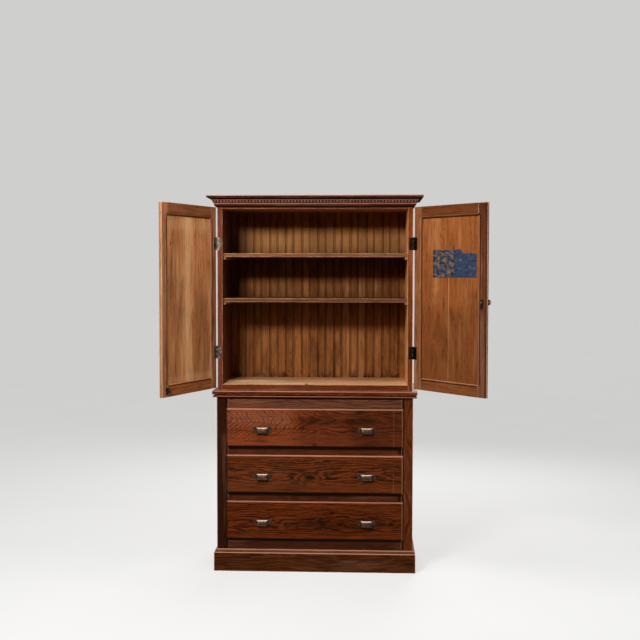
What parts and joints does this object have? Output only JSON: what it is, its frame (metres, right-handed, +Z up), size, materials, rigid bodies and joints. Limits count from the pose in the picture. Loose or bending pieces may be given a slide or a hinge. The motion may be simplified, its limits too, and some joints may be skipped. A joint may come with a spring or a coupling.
{
  "type": "shop cabinet",
  "caption": "Free-standing wooden shop cabinet: lipped drawers with bin pulls below, and above a shelved, bead-boarded case with panelled doors standing open.",
  "frame": {"origin": "on the floor, at the wall, midway across the cabinet", "axes": "+X to the right of a person facing the doors, +Y to the wall, +Z up"},
  "size_m": [1.5549, 0.8563, 1.92],
  "materials": {
    "stained_wood": "dark stained fir, worn varnish",
    "door_wood": "stained fir, satin varnish",
    "inner_wood": "old varnish, worn",
    "raw_wood": "unfinished softwood",
    "pull_iron": "dark bronzed, worn bright on the edge",
    "steel": "dull, slightly tarnished",
    "dark_iron": "blackened",
    "knob_brass": "dark tarnished"
  },
  "bodies": {
    "case": {"base_side_left": "stained_wood", "base_side_right": "stained_wood", "base_stile_left": "stained_wood", "base_stile_right": "stained_wood", "base_bottom_rail": "stained_wood", "base_drawer_rails": "stained_wood", "base_top_rail": "stained_wood", "base_bottom_board": "raw_wood", "base_back_boards": "raw_wood", "plinth_back_rail": "raw_wood", "drawer_runners": "raw_wood", "drawer_guides": "raw_wood", "plinth_boards": "stained_wood", "waist_board": "stained_wood", "waist_moulding": "stained_wood", "upper_side_left": "stained_wood", "upper_side_right": "stained_wood", "upper_floor": "inner_wood", "upper_top": "inner_wood", "frieze_rail": "stained_wood", "upper_back_boards": "inner_wood", "upper_shelf": "inner_wood", "lower_shelf": "inner_wood", "shelf_cleats": "inner_wood", "cornice_moulding": "stained_wood", "cornice_bead_strip": "stained_wood", "cornice_top": "stained_wood", "case_hinge_leaves": "steel", "hinge_pins": "steel", "catch_strike": "steel"},
    "left_door": {"left_hinge_stile": "door_wood", "left_meeting_stile": "door_wood", "left_top_rail": "door_wood", "left_bottom_rail": "door_wood", "left_panel": "door_wood", "left_door_hinge_leaves": "steel", "catch_plate": "dark_iron", "catch_spring": "steel"},
    "right_door": {"right_hinge_stile": "door_wood", "right_meeting_stile": "door_wood", "right_top_rail": "door_wood", "right_bottom_rail": "door_wood", "right_panel": "door_wood", "right_door_hinge_leaves": "steel", "latch_plates": "dark_iron"},
    "elbow_catch": {"catch_lever": "dark_iron"},
    "latch": {"latch_knob": "knob_brass", "latch_tongue": "dark_iron"},
    "bottom_drawer": {"bottom_drawer_front": "stained_wood", "bottom_drawer_box": "raw_wood", "bottom_drawer_bottom": "raw_wood", "bottom_drawer_pulls": "pull_iron"},
    "middle_drawer": {"middle_drawer_front": "stained_wood", "middle_drawer_box": "raw_wood", "middle_drawer_bottom": "raw_wood", "middle_drawer_pulls": "pull_iron"},
    "top_drawer": {"top_drawer_front": "stained_wood", "top_drawer_box": "raw_wood", "top_drawer_bottom": "raw_wood", "top_drawer_pulls": "pull_iron"}
  },
  "joints": [
    {"name": "left_door_hinge", "type": "hinge", "parent": "case", "child": "left_door", "pos_m": [-0.5, -0.396, 1.4], "axis": [0, 0, -1], "range_deg": [-112.46, 67.54]},
    {"name": "right_door_hinge", "type": "hinge", "parent": "case", "child": "right_door", "pos_m": [0.5, -0.396, 1.4], "axis": [0, 0, 1], "range_deg": [-129.08, 50.92]},
    {"name": "latch_turn", "type": "hinge", "parent": "right_door", "child": "latch", "pos_m": [0.80133, -0.76706, 1.391], "axis": [-0.7763, -0.6304, 0], "range_deg": [0, 90]},
    {"name": "elbow_catch_pivot", "type": "hinge", "parent": "left_door", "child": "elbow_catch", "pos_m": [-0.66924, -0.82109, 0.971], "axis": [-0.382, -0.9241, 0], "range_deg": [0, 18], "stiffness_Nm_per_rad": 0.2, "springref_deg": -22.92},
    {"name": "bottom_drawer_slide", "type": "slide", "parent": "case", "child": "bottom_drawer", "axis": [0, -1, 0], "range_m": [0, 0.3]},
    {"name": "middle_drawer_slide", "type": "slide", "parent": "case", "child": "middle_drawer", "axis": [0, -1, 0], "range_m": [0, 0.3]},
    {"name": "top_drawer_slide", "type": "slide", "parent": "case", "child": "top_drawer", "axis": [0, -1, 0], "range_m": [0, 0.3]}
  ]
}
